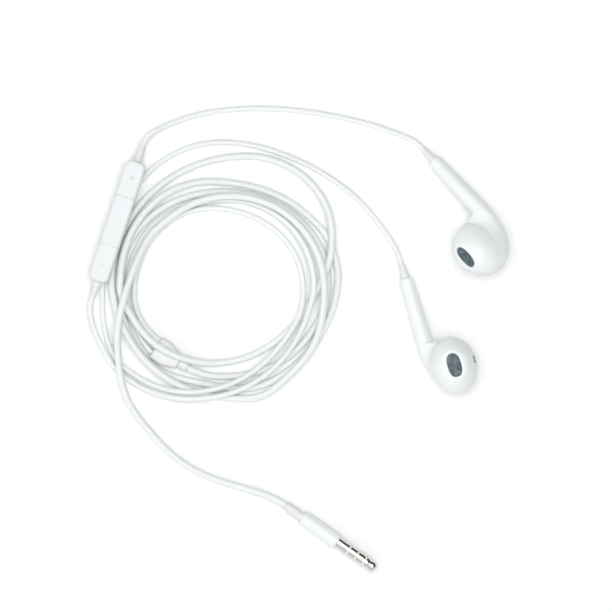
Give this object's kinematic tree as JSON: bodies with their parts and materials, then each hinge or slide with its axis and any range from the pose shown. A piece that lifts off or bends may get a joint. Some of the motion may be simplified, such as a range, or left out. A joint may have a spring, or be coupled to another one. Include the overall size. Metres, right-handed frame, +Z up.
{
  "type": "wired earphones",
  "caption": "White wired earphones laid on a table, cord wound in a loose coil, with an inline button remote, a splitter and a small jack plug.",
  "frame": {"origin": "centre of the box round the two earbuds and the remote, on the table surface", "axes": "+X to the right of the picture, +Y up the picture, +Z up from the table towards the camera"},
  "size_m": [0.1269, 0.1406, 0.0157],
  "materials": {
    "white_shell": "glossy moulded plastic",
    "cord_rubber": "smooth matt elastomer",
    "relief_rubber": "smooth slightly clear elastomer",
    "grille_mesh": "fine dark mesh",
    "driver_metal": "plated steel",
    "magnet": "nickel plated magnet",
    "copper": "bare copper",
    "film": "thin polymer film",
    "board": "laminate",
    "pin_metal": "bright nickel plate",
    "band_plastic": "white insulating rings"
  },
  "bodies": {
    "earphones": {"right_front_shell": "white_shell", "right_rear_shell": "white_shell", "right_front_grille": "grille_mesh", "right_side_grille": "grille_mesh", "right_driver_basket": "driver_metal", "right_driver_magnet": "magnet", "right_pole_plate": "driver_metal", "left_front_shell": "white_shell", "left_rear_shell": "white_shell", "left_front_grille": "grille_mesh", "left_side_grille": "grille_mesh", "left_driver_basket": "driver_metal", "left_driver_magnet": "magnet", "left_pole_plate": "driver_metal", "remote_shell": "white_shell", "circuit_board": "board", "dome_switches": "pin_metal", "microphone": "driver_metal", "right_cord_relief": "relief_rubber", "left_cord_relief": "relief_rubber", "remote_upper_relief": "relief_rubber", "remote_lower_relief": "relief_rubber", "splitter_body": "relief_rubber", "splitter_crimp": "driver_metal", "splitter_relief": "relief_rubber", "plug_tip": "pin_metal", "plug_ring_one": "pin_metal", "plug_ring_two": "pin_metal", "plug_sleeve": "pin_metal", "plug_insulators": "band_plastic", "plug_core": "copper", "plug_housing": "white_shell", "plug_relief": "cord_rubber", "right_ear_cord": "cord_rubber", "left_ear_cord": "cord_rubber", "left_cord_turn": "cord_rubber", "remote_cord": "cord_rubber", "remote_cord_turn": "cord_rubber", "main_cord_coil": "cord_rubber", "main_cord_tail": "cord_rubber"},
    "plus_key": {"plus_key": "white_shell"},
    "centre_key": {"centre_key": "white_shell"},
    "minus_key": {"minus_key": "white_shell"},
    "right_diaphragm": {"right_voice_coil": "copper", "right_diaphragm": "film"},
    "left_diaphragm": {"left_voice_coil": "copper", "left_diaphragm": "film"}
  },
  "joints": [
    {"name": "plus_key_press", "type": "slide", "parent": "earphones", "child": "plus_key", "axis": [0, 0, -1], "range_m": [0, 0.00025], "stiffness_N_per_m": 3000},
    {"name": "centre_key_press", "type": "slide", "parent": "earphones", "child": "centre_key", "axis": [0, 0, -1], "range_m": [0, 0.00025], "stiffness_N_per_m": 3000},
    {"name": "minus_key_press", "type": "slide", "parent": "earphones", "child": "minus_key", "axis": [0, 0, -1], "range_m": [0, 0.00025], "stiffness_N_per_m": 3000},
    {"name": "right_diaphragm_stroke", "type": "slide", "parent": "earphones", "child": "right_diaphragm", "axis": [-0.6269, -0.3637, 0.689], "range_m": [-0.0002, 0.0002], "stiffness_N_per_m": 900},
    {"name": "left_diaphragm_stroke", "type": "slide", "parent": "earphones", "child": "left_diaphragm", "axis": [-0.0098, 0.0335, 0.9994], "range_m": [-0.0002, 0.0002], "stiffness_N_per_m": 900}
  ]
}
